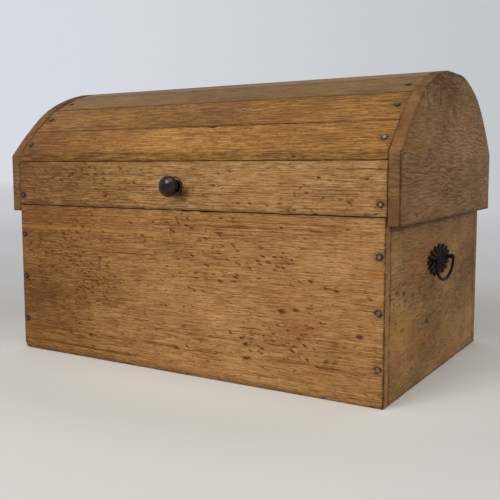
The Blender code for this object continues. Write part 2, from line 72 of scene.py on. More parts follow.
class Wire:
    # What comes out of one socket
    def __init__(self, socket):
        self.socket = socket
        self.tree = socket.id_data

    def __add__(self, other):
        return maths("ADD", self, other)

    def __radd__(self, other):
        return maths("ADD", other, self)

    def __sub__(self, other):
        return maths("SUBTRACT", self, other)

    def __rsub__(self, other):
        return maths("SUBTRACT", other, self)

    def __mul__(self, other):
        return maths("SCALE" if isVector(self) and not isVector(other) else "MULTIPLY", self, other)

    def __truediv__(self, other):
        return maths("DIVIDE", self, other)

    def __pow__(self, other):
        return maths("POWER", self, other)

    def __abs__(self):
        return maths("ABSOLUTE", self)


def isVector(value):
    return isinstance(value, tuple) or (isinstance(value, Wire) and value.socket.type in ("VECTOR", "RGBA"))


def plug(node, values):
    # Links or sets what goes into a node's sockets, by their numbers or names
    for key, value in dict(values).items():
        if isinstance(value, Wire):
            value.tree.links.new(value.socket, node.inputs[key])
        else:
            node.inputs[key].default_value = value
    return node


def addNode(tree, kind, values=(), **settings):
    node = tree.nodes.new(kind)
    for name, value in settings.items():
        setattr(node, name, value)
    return plug(node, values)


def maths(operation, *values):
    # One maths node, of the vector kind where the first value is a vector
    tree = next(value.tree for value in values if isinstance(value, Wire))
    kind = "ShaderNodeVectorMath" if isVector(values[0]) else "ShaderNodeMath"
    places = (0, "Scale") if operation == "SCALE" else range(len(values))
    node = addNode(tree, kind, zip(places, values), operation=operation)
    return Wire(node.outputs["Value" if operation in ("LENGTH", "DISTANCE", "DOT_PRODUCT") else 0])


def pick(operation, values):
    # The largest or the smallest of several values
    best = values[0]
    for value in values[1:]:
        best = maths(operation, best, value)
    return best


def parts(wire):
    return [Wire(socket) for socket in addNode(wire.tree, "ShaderNodeSeparateXYZ", {0: wire}).outputs]


def turned(place, axis, angle):
    node = addNode(place.tree, "ShaderNodeVectorRotate", {"Vector": place, "Angle": angle}, rotation_type=axis)
    return Wire(node.outputs[0])


def cloud(place, lumps, detail=2.0, rough=0.5, coloured=False):
    # Soft noise with so many lumps to the metre along each axis
    node = addNode(place.tree, "ShaderNodeTexNoise",
                   {"Vector": place * lumps, "Scale": 1.0, "Detail": detail, "Roughness": rough})
    return Wire(node.outputs[1 if coloured else 0])


def window(value, low, high, start=0.0, end=1.0):
    # Smooth step from start to end as the value goes from low to high
    node = addNode(value.tree, "ShaderNodeMapRange", enumerate((value, low, high, start, end)),
                   interpolation_type="SMOOTHSTEP")
    return Wire(node.outputs[0])


def ramp(value, low, high):
    return Wire(addNode(value.tree, "ShaderNodeMapRange", enumerate((value, low, high))).outputs[0])


def blend(factor, first, second):
    node = addNode(factor.tree, "ShaderNodeMix", {0: factor, 6: first, 7: second}, data_type="RGBA")
    return Wire(node.outputs[2])


def newMaterial(name):
    material = bpy.data.materials.new(name)
    material.use_nodes = True
    place = Wire(addNode(material.node_tree, "ShaderNodeTexCoord").outputs["Object"])
    return material, material.node_tree.nodes["Principled BSDF"], place


def measured(tree, word):
    # What the mesh itself says at each of its points
    return Wire(addNode(tree, "ShaderNodeAttribute", attribute_name=word).outputs["Fac"])


def emboss(shader, height, strength):
    bump = addNode(shader.id_data, "ShaderNodeBump", {"Strength": strength, "Distance": 1.0, "Height": height})
    plug(shader, {"Normal": Wire(bump.outputs[0])})


# Oak: rings round a pith, fibre, pores, mottling, worm pits and rubbed arrises

oak = {
    # Lumps to the metre, along the grain and across it
    "drift": (1.3, 5.0, 5.0),         # slow wander of the grain
    "ripple": (12.0, 40.0, 40.0),     # and its short ripple
    "fibre": (18.0, 340.0, 340.0),
    "strokes": (30.0, 620.0, 620.0),
    "flecks": (125.0, 600.0, 600.0),  # open pores
    "breaks": (18.0, 160.0, 160.0),   # gaps in the ring lines
    "bold": (2.0, 16.0, 16.0),        # where those lines stand out
    "mottle": (3.5, 8.0, 8.0),
    "patches": (16.0, 30.0, 30.0),
    "redness": (6.0, 13.0, 13.0),
    "figure": (14.0, 24.0, 24.0),     # sway of the wavy figure
    "figured": (7.0, 12.0, 12.0),     # and where it shows
    "crooked": (85.0, 85.0, 85.0),    # what bends the worm pits
    "clusters": (7.0, 11.0, 11.0),
    "track": (34.0, 46.0, 46.0),
    "tracked": (36.0, 36.0, 36.0),
    "grimy": (40.0, 70.0, 70.0),
    "dips": (9.0, 26.0, 26.0),
    # How much of each
    "rippleShare": 0.11, "ringUneven": 60.0, "ringWander": 4.0, "ringFall": 3.2,
    "strokeShare": 0.5, "fibreShare": 0.46, "fleckShare": 0.3, "patchShare": 0.5, "base": 0.6,
    "figureSway": 0.036, "figurePitch": 850.0, "crookedBy": 0.0045,
    "pits": (((52.0, 140.0, 140.0), 0.3), ((50.0, 130.0, 130.0), -0.1), ((56.0, 145.0, 145.0), -0.4)),
    "pitSmall": 0.17, "pitSpread": 0.22,
    "fibreDepth": 0.00022, "lineDepth": 0.00014, "fleckDepth": 0.00008, "pitDepth": 0.0006, "dipDepth": 0.0006,
    "sheen": 0.17,
    "pit": tone(82, 45, 14), "grime": tone(66, 45, 26), "dry": tone(146, 116, 80),
}

oakSockets = {
    "Vector": "Place Shift Pith",
    "Float": "Spacing Swirl Comb Lines Fibre Mottle Figure RedAmount Worm Dim Rub Inside",
    "Color": "Light Middle Dark Red",
}


def buildOak():
    tree = bpy.data.node_groups.new("oak", "ShaderNodeTree")
    for kind, names in oakSockets.items():
        for name in names.split():
            tree.interface.new_socket(name=name, in_out="INPUT", socket_type="NodeSocket" + kind)
    for name, kind in (("Colour", "Color"), ("Height", "Float"), ("Worn", "Float"), ("Sheen", "Float")):
        tree.interface.new_socket(name=name, in_out="OUTPUT", socket_type="NodeSocket" + kind)
    given = {socket.name: Wire(socket) for socket in addNode(tree, "NodeGroupInput").outputs}
    half = (0.5, 0.5, 0.5)
    crossways = (0.0, 1.0, 1.0)

    place = given["Place"] + given["Shift"]
    drift = cloud(place, oak["drift"], 1.0, coloured=True) - half
    ripple = (cloud(place, oak["ripple"], coloured=True) - half) * oak["rippleShare"]
    grown = place + (drift + ripple) * crossways * given["Swirl"]

    # Growth rings, seen as thin broken lines
    radius = maths("LENGTH", (grown - given["Pith"]) * crossways)
    uneven = addNode(tree, "ShaderNodeTexNoise", {"W": radius * oak["ringUneven"], "Scale": 1.0},
                     noise_dimensions="1D")
    phase = radius / given["Spacing"] + Wire(uneven.outputs[0]) * oak["ringWander"]
    lot = addNode(tree, "ShaderNodeTexWhiteNoise", {"W": maths("FLOOR", phase)}, noise_dimensions="1D")
    early = (1.0 - maths("FRACT", phase)) ** oak["ringFall"]
    early = early * window(Wire(lot.outputs["Value"]), 0.1, 1.0, 0.25, 1.0)
    breaks = window(cloud(grown, oak["breaks"], 2.0, 0.6), 0.4, 0.55, 0.15, 1.0)
    line = early * breaks * window(cloud(grown, oak["bold"], 1.0), 0.4, 0.62, 0.25, 1.0)

    # Short fibre, flecks of open pores, and soft mottling at two sizes
    comb = addNode(tree, "ShaderNodeCombineXYZ", {0: given["Comb"], 1: 1.0, 2: 1.0})
    combed = grown * Wire(comb.outputs[0])
    fibre = cloud(combed, oak["fibre"], 3.0, 0.6) - 0.5
    strokes = window(cloud(combed, oak["strokes"], 2.0, 0.75), 0.36, 0.64, -0.5, 0.5)
    flecks = window(cloud(combed, oak["flecks"], 1.0), 0.54, 0.68)
    mottle = cloud(place, oak["mottle"], 3.0, 0.55) - 0.5
    patches = cloud(place, oak["patches"]) - 0.5

    # Wavy figure: contours of a slow field, crossed by the fibre
    field = cloud(place, oak["figure"]) * oak["figureSway"] + maths("DOT_PRODUCT", place, (0.0, 0.0, 1.0))
    figure = maths("SINE", field * oak["figurePitch"]) * window(cloud(place, oak["figured"], 1.0), 0.38, 0.58)

    grainy = strokes * oak["strokeShare"] + fibre * oak["fibreShare"] - flecks * oak["fleckShare"]
    mottled = mottle + patches * oak["patchShare"]
    level = (grainy * given["Fibre"] + mottled * given["Mottle"] + figure * given["Figure"]
             - line * given["Lines"] - given["Dim"] + oak["base"])
    colour = blend(ramp(level, 0.02, 0.58), given["Dark"], given["Middle"])
    colour = blend(ramp(level, 0.58, 1.05), colour, given["Light"])
    redness = window(cloud(place + (3.0, 1.0, 7.0), oak["redness"]), 0.46, 0.68)
    colour = blend(redness * given["RedAmount"], colour, given["Red"])

    # Worm pits: bent dashes at three slants, and short crooked tracks
    bent = place + (cloud(place, oak["crooked"], 1.0, coloured=True) - half) * oak["crookedBy"]
    amount = window(cloud(place, oak["clusters"], 2.0, 0.6), 0.36, 0.62) * given["Worm"]
    holes = []
    for lumps, slant in oak["pits"]:
        spots = turned(bent, "Y_AXIS", slant) * lumps
        cells = addNode(tree, "ShaderNodeTexVoronoi", {"Vector": spots, "Scale": 1.0}, feature="F1").outputs
        rarity, bulk, faintness = parts(Wire(cells["Color"]))
        size = bulk ** 2.0 * oak["pitSpread"] + oak["pitSmall"]
        hole = window(Wire(cells["Distance"]), size * 0.6, size, 1.0, 0.0)
        holes.append(hole * window(amount - rarity, 0.0, 0.05) * window(faintness, 0.0, 1.0, 0.65, 1.0))
    track = window(abs(cloud(place + (9.0, 2.0, 4.0), oak["track"], 1.0) - 0.5), 0.014, 0.036, 1.0, 0.0)
    track = track * window(cloud(place + (1.0, 8.0, 6.0), oak["tracked"], 1.0), 0.58, 0.66) * (amount * 1.1)
    worm = pick("MAXIMUM", holes + [maths("MINIMUM", track, 0.8)])
    colour = blend(amount * 0.12, colour, given["Dark"])
    colour = blend(worm * 0.88, colour, oak["pit"])

    # Dry inner faces, and dirt and rubbing along the arrises
    colour = blend(given["Inside"] * 0.55, colour, oak["dry"])
    dirt = given["Rub"] ** 2.2 * window(cloud(place, oak["grimy"]), 0.3, 0.7, 0.15, 1.0)
    colour = blend(dirt * 0.7, colour, oak["grime"])

    height = (fibre * oak["fibreDepth"] - line * oak["lineDepth"] - flecks * oak["fleckDepth"]
              - worm * oak["pitDepth"] + cloud(place, oak["dips"], 1.0) * oak["dipDepth"])
    worn = worm * 0.25 + dirt * 0.12 - fibre * 0.25
    sheen = (1.0 - (worm * 0.9 + dirt * 0.4)) * oak["sheen"]
    addNode(tree, "NodeGroupOutput", {"Colour": colour, "Height": height, "Worn": worn, "Sheen": sheen})
    return tree


oakTree = buildOak()

# How each kind of board looks. The pith is where the log's heart lay, across the grain, and the tones are
# the light, the middle, the dark and the reddish one
plainOak = {"comb": 1.0, "mottle": 0.6, "figure": 0.0, "edgeDim": 0.0, "edgeSoft": 0.0}
oakLooks = {
    "front": {"spacing": 0.0043, "swirl": 0.018, "lines": 0.75, "fibre": 0.95, "redAmount": 0.18,
              "pith": (0.0, 0.1, -0.32), "roughness": 0.55,
              "tones": ((190, 148, 96), (153, 111, 63), (98, 60, 20), (140, 84, 36))},
    "lidBoard": {"spacing": 0.0046, "swirl": 0.006, "lines": 1.25, "fibre": 1.0, "mottle": 0.5,
                 "redAmount": 0.26, "pith": (0.0, 0.05, 0.05), "roughness": 0.55,
                 "tones": ((194, 154, 104), (156, 116, 68), (94, 60, 24), (144, 92, 42))},
    "stave": {"spacing": 0.0038, "swirl": 0.004, "lines": 0.8, "fibre": 1.25, "redAmount": 0.26,
              "pith": (0.0, 0.0, 0.1), "roughness": 0.53,
              "tones": ((172, 125, 62), (131, 90, 34), (82, 48, 12), (124, 72, 24))},
    # Greyer, darker tones for the upper staves: partly their own tone, partly painted sheen and shade of the
    # lid's top
    "greySheenStave": {"spacing": 0.0038, "swirl": 0.004, "lines": 0.7, "fibre": 1.1, "redAmount": 0.1,
                  "pith": (0.0, 0.0, 0.1), "roughness": 0.53,
                  "tones": ((147, 109, 58), (114, 82, 35), (76, 50, 17), (114, 74, 28))},
    "end": {"spacing": 0.006, "swirl": 0.007, "comb": 1.2, "lines": 0.25, "fibre": 0.85, "mottle": 1.35,
            "figure": 0.05, "redAmount": 0.5, "pith": (0.0, -0.45, 0.05), "roughness": 0.62,
            "tones": ((176, 136, 80), (140, 103, 55), (88, 58, 26), (136, 84, 40))},
    "cheek": {"spacing": 0.005, "swirl": 0.01, "comb": 1.1, "lines": 0.25, "fibre": 1.1, "mottle": 1.05,
              "figure": 0.17, "redAmount": 0.35, "edgeDim": 0.1, "edgeSoft": 0.75,
              "pith": (0.0, -0.4, 0.3), "roughness": 0.62,
              "tones": ((166, 128, 80), (130, 97, 56), (84, 56, 24), (124, 80, 40))},
    "inner": {"spacing": 0.0055, "swirl": 0.03, "lines": 0.45, "fibre": 0.9, "redAmount": 0.1,
              "pith": (0.0, 0.1, 0.2), "roughness": 0.72,
              "tones": ((176, 146, 100), (146, 116, 74), (100, 74, 40), (130, 92, 50))},
}

marks = {
    "fade": (-0.36, 0.02),  # painted shade: the left of a board is dimmer, between these two places
    "blotLumps": (60.0, 60.0, 60.0), "blotRagged": 1.4,
    "arrisLumps": (70.0, 20.0, 190.0), "arrisRagged": 2.6,
    "streakLumps": (9.0, 3.0, 3.0), "streakWander": 0.01,
    "ironLumps": (180.0, 260.0, 260.0), "ironRagged": 0.006,
    "ironHalo": tone(78, 52, 34), "ringStainAndShadowTone": tone(34, 25, 20),
}
darkLine = tone(70, 44, 22)
crackAndShadowLine = tone(44, 28, 14)
rust = tone(150, 84, 34)
blush = tone(128, 66, 40)
pale = tone(176, 130, 66)
burnt = tone(66, 32, 8)


def oakFinish(name, look, shift, crossGrain=False, worm=0.3, wormSpots=(), nails=(), streaks=(), stains=(),
              shade=0.0, dim=0.0, arris=None, ringStainAndShadow=0.85):
    # One board's own finish: shift picks its place in the log
    values = {**plainOak, **oakLooks[look]}
    material, shader, place = newMaterial(name)
    tree = place.tree
    amount = worm
    for centre, reach, strength in wormSpots:
        amount = amount + window(maths("DISTANCE", place, centre), reach * 0.35, reach, strength, 0.0)
    rub, inside, edge = [measured(tree, word) for word in ("rub", "inside", "edge")]
    along, across, upward = parts(place)
    wood = addNode(tree, "ShaderNodeGroup", node_tree=oakTree)
    for socket in ("Pith", "Spacing", "Swirl", "Comb", "Lines", "Mottle", "Figure", "RedAmount"):
        plug(wood, {socket: values[socket[0].lower() + socket[1:]]})
    for socket, levels in zip(("Light", "Middle", "Dark", "Red"), values["tones"]):
        plug(wood, {socket: tone(*levels)})
    # Where the grain runs along Y, a quarter turn lays it along X
    plug(wood, {
        "Place": turned(place, "Z_AXIS", -math.pi / 2) if crossGrain else place, "Shift": shift,
        "Fibre": (1.0 - edge * values["edgeSoft"]) * values["fibre"],
        # The left end of each front piece is darker: painted shade
        "Dim": edge * values["edgeDim"] + window(along, *marks["fade"], shade + dim, shade),
        "Worm": amount, "Rub": rub, "Inside": inside,
    })
    colour, height, worn, sheen = [Wire(wood.outputs[word]) for word in ("Colour", "Height", "Worn", "Sheen")]
    soiledAndShaded = []

    # Soft blots of another tone, drawn out along the grain: most are stains, and the knob's blot on the lid is
    # painted shadow
    drawn = (1.0, 0.5, 1.0) if crossGrain else (0.55, 1.0, 1.0)
    ragged = cloud(place, marks["blotLumps"])
    for centre, reach, strength, blot in stains:
        away = maths("LENGTH", (place - centre) * drawn) + ragged * (reach * marks["blotRagged"])
        soiledAndShaded.append(window(away, reach * 0.7, reach * 1.7, strength, 0.0))
        colour = blend(soiledAndShaded[-1], colour, blot)

    if arris:
        # Dirt and small splits down one upright arris
        where, reach, strength = arris
        corner = maths("LENGTH", (place - where) * (1.0, 1.0, 0.0))
        away = corner - cloud(place, marks["arrisLumps"]) * (reach * marks["arrisRagged"])
        soiledAndShaded.append(window(away, -reach * 0.5, reach * 0.3, strength, 0.0))
        colour = blend(soiledAndShaded[-1], colour, crackAndShadowLine)

    # Cracks and dark bands along X, each at one height; on the ends one band is the painted shadow under the
    # cheek
    wander = (cloud(place, marks["streakLumps"]) - 0.5) * marks["streakWander"]
    for level, halfWidth, start, end, strength, line in streaks:
        fade = (end - start) * 0.2
        band = window(abs(upward - (wander + level)), halfWidth * 0.35, halfWidth, strength, 0.0)
        band = band * window(along, start, start + fade) * window(along, end - fade, end, 1.0, 0.0)
        soiledAndShaded.append(band)
        colour = blend(band, colour, line)

    if nails:
        # Iron stain round the nail heads, drawn out along the grain. The thin black ring round each head is
        # partly iron stain, partly painted shadow of the gap round the head
        nearest = pick("MINIMUM", [maths("LENGTH", (place - spot) * (0.8, 1.0, 1.0)) for spot in nails])
        ragged = nearest + cloud(place, marks["ironLumps"]) * marks["ironRagged"]
        colour = blend(window(ragged, 0.0072, 0.015, 0.45, 0.0), colour, marks["ironHalo"])
        soiledAndShaded.append(window(ragged, 0.0072, 0.0088, ringStainAndShadow, 0.0))
        colour = blend(soiledAndShaded[-1], colour, marks["ringStainAndShadowTone"])
        height = height + window(nearest, 0.005, 0.0085, 0.0, 0.0006)

    # Less sheen under the stains, the dirt and the painted shade
    for mask in soiledAndShaded:
        sheen = sheen * (1.0 - mask * 0.9)
    plug(shader, {"Base Color": colour, "Roughness": worn + values["roughness"], "Specular IOR Level": sheen})
    emboss(shader, height, 0.8)
    return material


# Iron: dark skin, rubbed bright on its crowns, with specks of rust, and darker in its grooves and round its rims
# where the mesh marks them:
# partly the iron's own dark, partly painted shade. The tones are the skin, the worn and the rusty one

iron = {"lumps": (420.0, 420.0, 420.0), "patches": (150.0, 150.0, 150.0), "groove": tone(20, 15, 12),
        "lumpDepth": 0.00035, "patchDepth": 0.0006, "coatRoughness": 0.1}
ironLooks = {
    "nail": {"tones": ((118, 104, 92), (180, 170, 158), (80, 60, 46)),
             "wear": 0.75, "rust": 0.45, "roughness": 0.48, "metallic": 0.75},
    "darkNail": {"tones": ((88, 72, 58), (112, 96, 82), (70, 52, 38)),
                 "wear": 0.25, "rust": 0.5, "roughness": 0.66, "metallic": 0.55},
    "knob": {"tones": ((46, 32, 27), (86, 66, 66), (58, 34, 24)),
             "wear": 0.35, "rust": 0.3, "roughness": 0.15, "metallic": 0.95, "coat": 0.35},
    "handle": {"tones": ((37, 27, 19), (72, 56, 43), (60, 38, 24)),
               "wear": 0.35, "rust": 0.45, "roughness": 0.56, "metallic": 0.9},
    "hinge": {"tones": ((58, 52, 47), (104, 96, 88), (78, 50, 34)),
              "wear": 0.3, "rust": 0.5, "roughness": 0.52, "metallic": 0.65},
}


def ironFinish(name, look):
    values = ironLooks[look]
    skin, worn, rusty = [tone(*levels) for levels in values["tones"]]
    material, shader, place = newMaterial(name)
    lumps = cloud(place, iron["lumps"], 3.0, 0.6)
    patches = cloud(place, iron["patches"], 3.0, 0.6)
    rub = measured(place.tree, "rub")
    colour = blend(window(patches, 0.5, 0.72, 0.0, values["wear"]), skin, worn)
    colour = blend(window(lumps, 0.52, 0.68, 0.0, values["rust"]), colour, rusty)
    plug(shader, {
        "Base Color": blend(rub * 0.95, colour, iron["groove"]),
        "Roughness": lumps * 0.3 + (values["roughness"] - 0.12) + rub * 0.4,
        "Metallic": values["metallic"], "Coat Weight": values.get("coat", 0.0),
        "Coat Roughness": iron["coatRoughness"],
    })
    emboss(shader, lumps * iron["lumpDepth"] + patches * iron["patchDepth"], 0.6)
    return material


# Shaping helpers

def addObject(name, data):
    thing = bpy.data.objects.new(name, data)
    bpy.context.scene.collection.objects.link(thing)
    return thing


def finishPiece(name, bm, material, body, nodes=(), smoothAngle=50.0):
    mesh = bpy.data.meshes.new(name)
    bm.to_mesh(mesh)
    bm.free()
    mesh.materials.append(material)
    mesh.shade_smooth()
    mesh.set_sharp_from_angle(angle=math.radians(smoothAngle))
    piece = addObject(name, mesh)
    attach(piece, body)
    if nodes:
        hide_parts(*nodes)
    return piece


boardShape = {
    "station": 0.006,      # spacing of the loops along and across a board
    "cornerLoop": 0.0022,  # a loop this far in from every arris
    "broad": 0.0004,       # square metres above which a face gets that loop
    "waver": 0.0002,       # how far the planed faces dip
    "waves": (5, 16, 16),  # and how often to the metre
    "wear": 0.00045,       # how far an arris is rubbed back at most
    "wearReach": 0.0012,
    "rubReach": 0.0055,
    "sharp": 15.0,
}


def mergedCopy(node):
    bm = bmesh.new()
    bm.from_mesh(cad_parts[node].data)
    bmesh.ops.remove_doubles(bm, verts=bm.verts, dist=0.00001)
    return bm


def everything(bm):
    return bm.verts[:] + bm.edges[:] + bm.faces[:]


def setDown(bm, place, turn):
    # From where a piece was shaped to where it belongs
    bmesh.ops.transform(bm, verts=bm.verts, matrix=Matrix.Translation(place) @ turn)
    return bm


def cutAcross(bm, axis, low, high):
    # Evenly spaced loops square to one axis
    along = Matrix.Identity(3)[axis].copy()
    steps = round((high[axis] - low[axis]) / boardShape["station"])
    for i in range(1, steps):
        place = along * (low[axis] + (high[axis] - low[axis]) * i / steps)
        bmesh.ops.bisect_plane(bm, geom=everything(bm), dist=0.000001, plane_co=place, plane_no=along)


def wearDown(bm, thin, seed, chips):
    # Arrises rubbed back unevenly, faces a little wavy, and how near each point lies to an arris
    values = boardShape
    rub, inside, edge = [bm.verts.layers.float.new(word) for word in ("rub", "inside", "edge")]
    bm.normal_update()
    limit = math.radians(values["sharp"])
    corners = [v for v in bm.verts if any(e.calc_face_angle(0.0) > limit for e in v.link_edges)]
    tree = kdtree.KDTree(len(corners))
    for i, vert in enumerate(corners):
        tree.insert(vert.co, i)
    tree.balance()
    offset = Vector((seed * 3.7, seed * 1.3, seed * 2.1))
    middle = Vector((0.0, 0.0, cadBox[1].z * 0.55))
    moves = []
    for vert in bm.verts:
        away = tree.find(vert.co)[2]
        spot = vert.co + offset
        slow = 0.5 + 0.5 * noise.noise(spot * 14)
        fast = max(0.0, noise.noise(spot * 90))
        cut = values["wear"] * (0.25 + 0.75 * slow + 0.9 * fast) * math.exp(-away / values["wearReach"])
        wave = values["waver"] * (0.5 + 0.5 * noise.noise(spot * Vector(values["waves"])))
        for place, reach, depth in chips:
            share = (vert.co - Vector(place)).length / reach
            if share < 1:
                cut += depth * (1 - share * share)
        moves.append(-vert.normal * (cut + wave))
        vert[rub] = math.exp(-away / values["rubReach"])
        vert[inside] = 1.0 if vert.normal.dot(middle - vert.co) > 0 else 0.0
        vert[edge] = 1.0 - abs(vert.normal[thin])
    for vert, move in zip(bm.verts, moves):
        vert.co += move


def wornBoard(node, axes, seed, chips=()):
    # The solid's flat faces, each with a loop just inside its arrises, cut into short steps
    low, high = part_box(node)
    bm = mergedCopy(node)
    bmesh.ops.dissolve_limit(bm, angle_limit=math.radians(1.0), verts=bm.verts, edges=bm.edges)
    broad = [face for face in bm.faces if face.calc_area() > boardShape["broad"]]
    bmesh.ops.inset_region(bm, faces=broad, thickness=boardShape["cornerLoop"], use_boundary=True,
                           use_even_offset=True)
    for axis in axes:
        cutAcross(bm, axis, low, high)
    bmesh.ops.remove_doubles(bm, verts=bm.verts, dist=0.00002)
    size = high - low
    wearDown(bm, min(range(3), key=lambda axis: size[axis]), seed, chips)
    return bm


# Camera, as the photograph's corners and seams place it

cameraPlace = {
    "place": (0.77792, -1.2918, 0.3685),
    "azimuth": 0.554058,
    "elevation": 0.102356,
    "roll": -0.0033519,
    "focalPixels": 749.0225,
    "centrePixels": (242.9265, 240.0971),
    "imagePixels": 500.0,
    "sensor": 36.0,
}


def addCamera():
    values = cameraPlace
    size = values["imagePixels"]
    data = bpy.data.cameras.new("camera")
    data.sensor_width = values["sensor"]
    data.lens = values["focalPixels"] / size * values["sensor"]
    data.shift_x = (size / 2 - values["centrePixels"][0]) / size
    data.shift_y = -(size / 2 - values["centrePixels"][1]) / size
    data.clip_end = 60.0
    turn, rise = values["azimuth"], values["elevation"]
    back = Vector((math.sin(turn) * math.cos(rise), -math.cos(turn) * math.cos(rise), math.sin(rise)))
    right = (-back).cross(Vector((0, 0, 1))).normalized()
    up = right.cross(-back)
    cosine, sine = math.cos(values["roll"]), math.sin(values["roll"])
    axes = Matrix((right * cosine + up * sine, up * cosine - right * sine, back)).transposed()
    camera = addObject("camera", data)
    camera.matrix_world = Matrix.Translation(values["place"]) @ axes.to_4x4()
    bpy.context.scene.camera = camera


addCamera()
print("camera placed")

# Boards

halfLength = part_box("front_board")[1].x
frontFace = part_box("front_board")[0].y
knobSpot = (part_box("knob")[0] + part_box("knob")[1]) / 2

nailShape = {"radius": 0.0047, "height": 0.0018, "crown": 0.52, "facets": 9, "shank": 0.0019,
             "depth": 0.01, "uneven": 0.00035}


def nailSpot(node):
    # Where a nail's head seats and which way it faces, from its solid
    points = [v.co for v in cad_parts[node].data.vertices]
    guess = Vector((0, math.copysign(1.0, points[0].y), 0.6 if "stave" in node else 0.0)).normalized()
    reach = [p.dot(guess) for p in points]
    head = [p for p, r in zip(points, reach) if r > max(reach) - 0.008]
    tip = [p for p, r in zip(points, reach) if r < min(reach) + 0.008]
    headMiddle = sum((Vector(p) for p in head), Vector()) / len(head)
    tipMiddle = sum((Vector(p) for p in tip), Vector()) / len(tip)
    out = (headMiddle - tipMiddle).normalized()
    top = max(p.dot(out) for p in points)
    return headMiddle + out * (top - headMiddle.dot(out) - nailShape["height"]), out


nailNodes = sorted(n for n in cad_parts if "nail" in n)
nailSpots = {node: nailSpot(node) for node in nailNodes}


def nailsIn(*words):
    return [tuple(spot) for node, (spot, out) in nailSpots.items() if all(word in node for word in words)]


def mirrored(spots):
    return [(x, -y, z) for x, y, z in spots]


def onFront(*rows):
    # Rows that begin with a place on the front, by its X and its height
    return tuple(((x, frontFace, z), *rest) for x, z, *rest in rows)


def onEnd(face, *rows):
    # The same on an end, by its Y and its height
    return tuple(((face, y, z), *rest) for y, z, *rest in rows)


# Worm spots end with (reach, amount) and stains with (reach, strength, tone); streaks run along X and are
# (height, half width, from, to, strength, tone)
boards = {
    "front_board": {
        "look": "front", "shift": (0.3, 0.0, 0.2), "worm": 0.12, "dim": 0.38,
        "nails": nailsIn("box", "front"),
        "wormSpots": onFront((-0.25, 0.19, 0.14, 0.75), (-0.13, 0.18, 0.12, 0.5), (0.2, 0.14, 0.13, 0.9),
                             (0.04, 0.275, 0.11, 0.7), (-0.24, 0.275, 0.1, 0.5), (0.02, 0.12, 0.13, 0.18)),
        "streaks": ((0.146, 0.001, 0.346, 0.38, 0.7, crackAndShadowLine), (0.246, 0.0045, -0.45, 0.1, 0.32, pale),
                    (0.144, 0.001, 0.29, 0.35, 0.3, crackAndShadowLine), (0.28, 0.0016, -0.42, 0.3, 0.3, blush),
                    (0.272, 0.0013, -0.4, 0.42, 0.38, darkLine), (0.264, 0.0016, -0.3, 0.42, 0.32, blush),
                    (0.257, 0.0012, -0.42, 0.36, 0.38, darkLine), (0.25, 0.001, -0.05, 0.42, 0.32, darkLine),
                    (0.096, 0.0014, 0.125, 0.18, 0.65, crackAndShadowLine), (0.004, 0.006, -0.4, 0.4, 0.25, darkLine)),
        "arris": ((halfLength, frontFace, 0.0), 0.002, 0.6),
        "stains": onFront((0.371, 0.206, 0.012, 0.5, rust), (0.243, 0.106, 0.022, 0.4, blush),
                          (-0.33, 0.12, 0.05, 0.3, darkLine), (-0.203, 0.045, 0.006, 0.9, burnt),
                          (0.208, 0.133, 0.0058, 0.95, burnt), (0.233, 0.137, 0.0058, 0.95, burnt),
                          (0.142, 0.071, 0.0055, 0.95, burnt), (0.142, 0.047, 0.0055, 0.95, burnt),
                          (0.344, 0.107, 0.0052, 0.9, burnt)),
    },
    "back_board": {"look": "front", "shift": (1.7, 0.4, 0.9), "worm": 0.42, "nails": nailsIn("box", "back")},
    "lid_front_board": {
        "look": "lidBoard", "shift": (0.9, 0.2, 0.1), "worm": 0.22, "shade": 0.05, "dim": 0.37,
        "nails": nailsIn("lid", "board"),
        "wormSpots": onFront((-0.24, 0.335, 0.12, 0.5), (0.22, 0.335, 0.1, 0.4)),
        "streaks": ((0.36, 0.001, 0.29, 0.4, 0.8, crackAndShadowLine), (0.369, 0.003, -0.4, 0.4, 0.25, pale)),
        # A painted shadow of the knob on the board, below it and to its right
        "stains": onFront((knobSpot.x + 0.018, knobSpot.z - 0.013, 0.016, 0.8, darkLine)),
    },
    "lid_back_board": {"look": "lidBoard", "shift": (2.7, 0.6, 0.5), "worm": 0.4,
                       "nails": mirrored(nailsIn("lid", "board"))},
    "front_stave_1": {
        "look": "stave", "shift": (0.1, 0.7, 0.3), "worm": 0.1, "shade": -0.1, "dim": 0.42,
        "nails": nailsIn("stave_1"),
        "streaks": ((0.3875, 0.003, -0.26, 0.06, 0.4, darkLine), (0.38, 0.003, -0.1, 0.42, 0.22, darkLine),
                    (0.392, 0.0016, -0.36, 0.2, 0.3, darkLine)),
    },
    "front_stave_2": {"look": "stave", "shift": (1.3, 0.1, 0.8), "worm": 0.08, "shade": 0.16,
                      "nails": nailsIn("stave_2"), "ringStainAndShadow": 0.6,
                      "stains": (((-0.36, -0.195, 0.445), 0.016, 0.5, blush),)},
    "front_stave_3": {"look": "greySheenStave", "shift": (0.6, 1.1, 0.2), "worm": 0.08, "shade": 0.08,
                      "nails": nailsIn("stave_3"), "ringStainAndShadow": 0.6},
    "front_stave_4": {"look": "greySheenStave", "shift": (2.1, 0.3, 0.4), "worm": 0.05},
    "top_stave": {"look": "greySheenStave", "shift": (3.1, 0.5, 0.6), "worm": 0.05},
    "back_stave_4": {"look": "stave", "shift": (4.1, 0.2, 0.1), "worm": 0.12},
    "back_stave_3": {"look": "greySheenStave", "shift": (5.1, 0.9, 0.3), "worm": 0.12,
                     "nails": mirrored(nailsIn("stave_3"))},
    "back_stave_2": {"look": "stave", "shift": (6.1, 0.4, 0.5), "worm": 0.16,
                     "nails": mirrored(nailsIn("stave_2"))},
    "back_stave_1": {"look": "stave", "shift": (7.1, 0.6, 0.7), "worm": 0.2,
                     "nails": mirrored(nailsIn("stave_1"))},
}

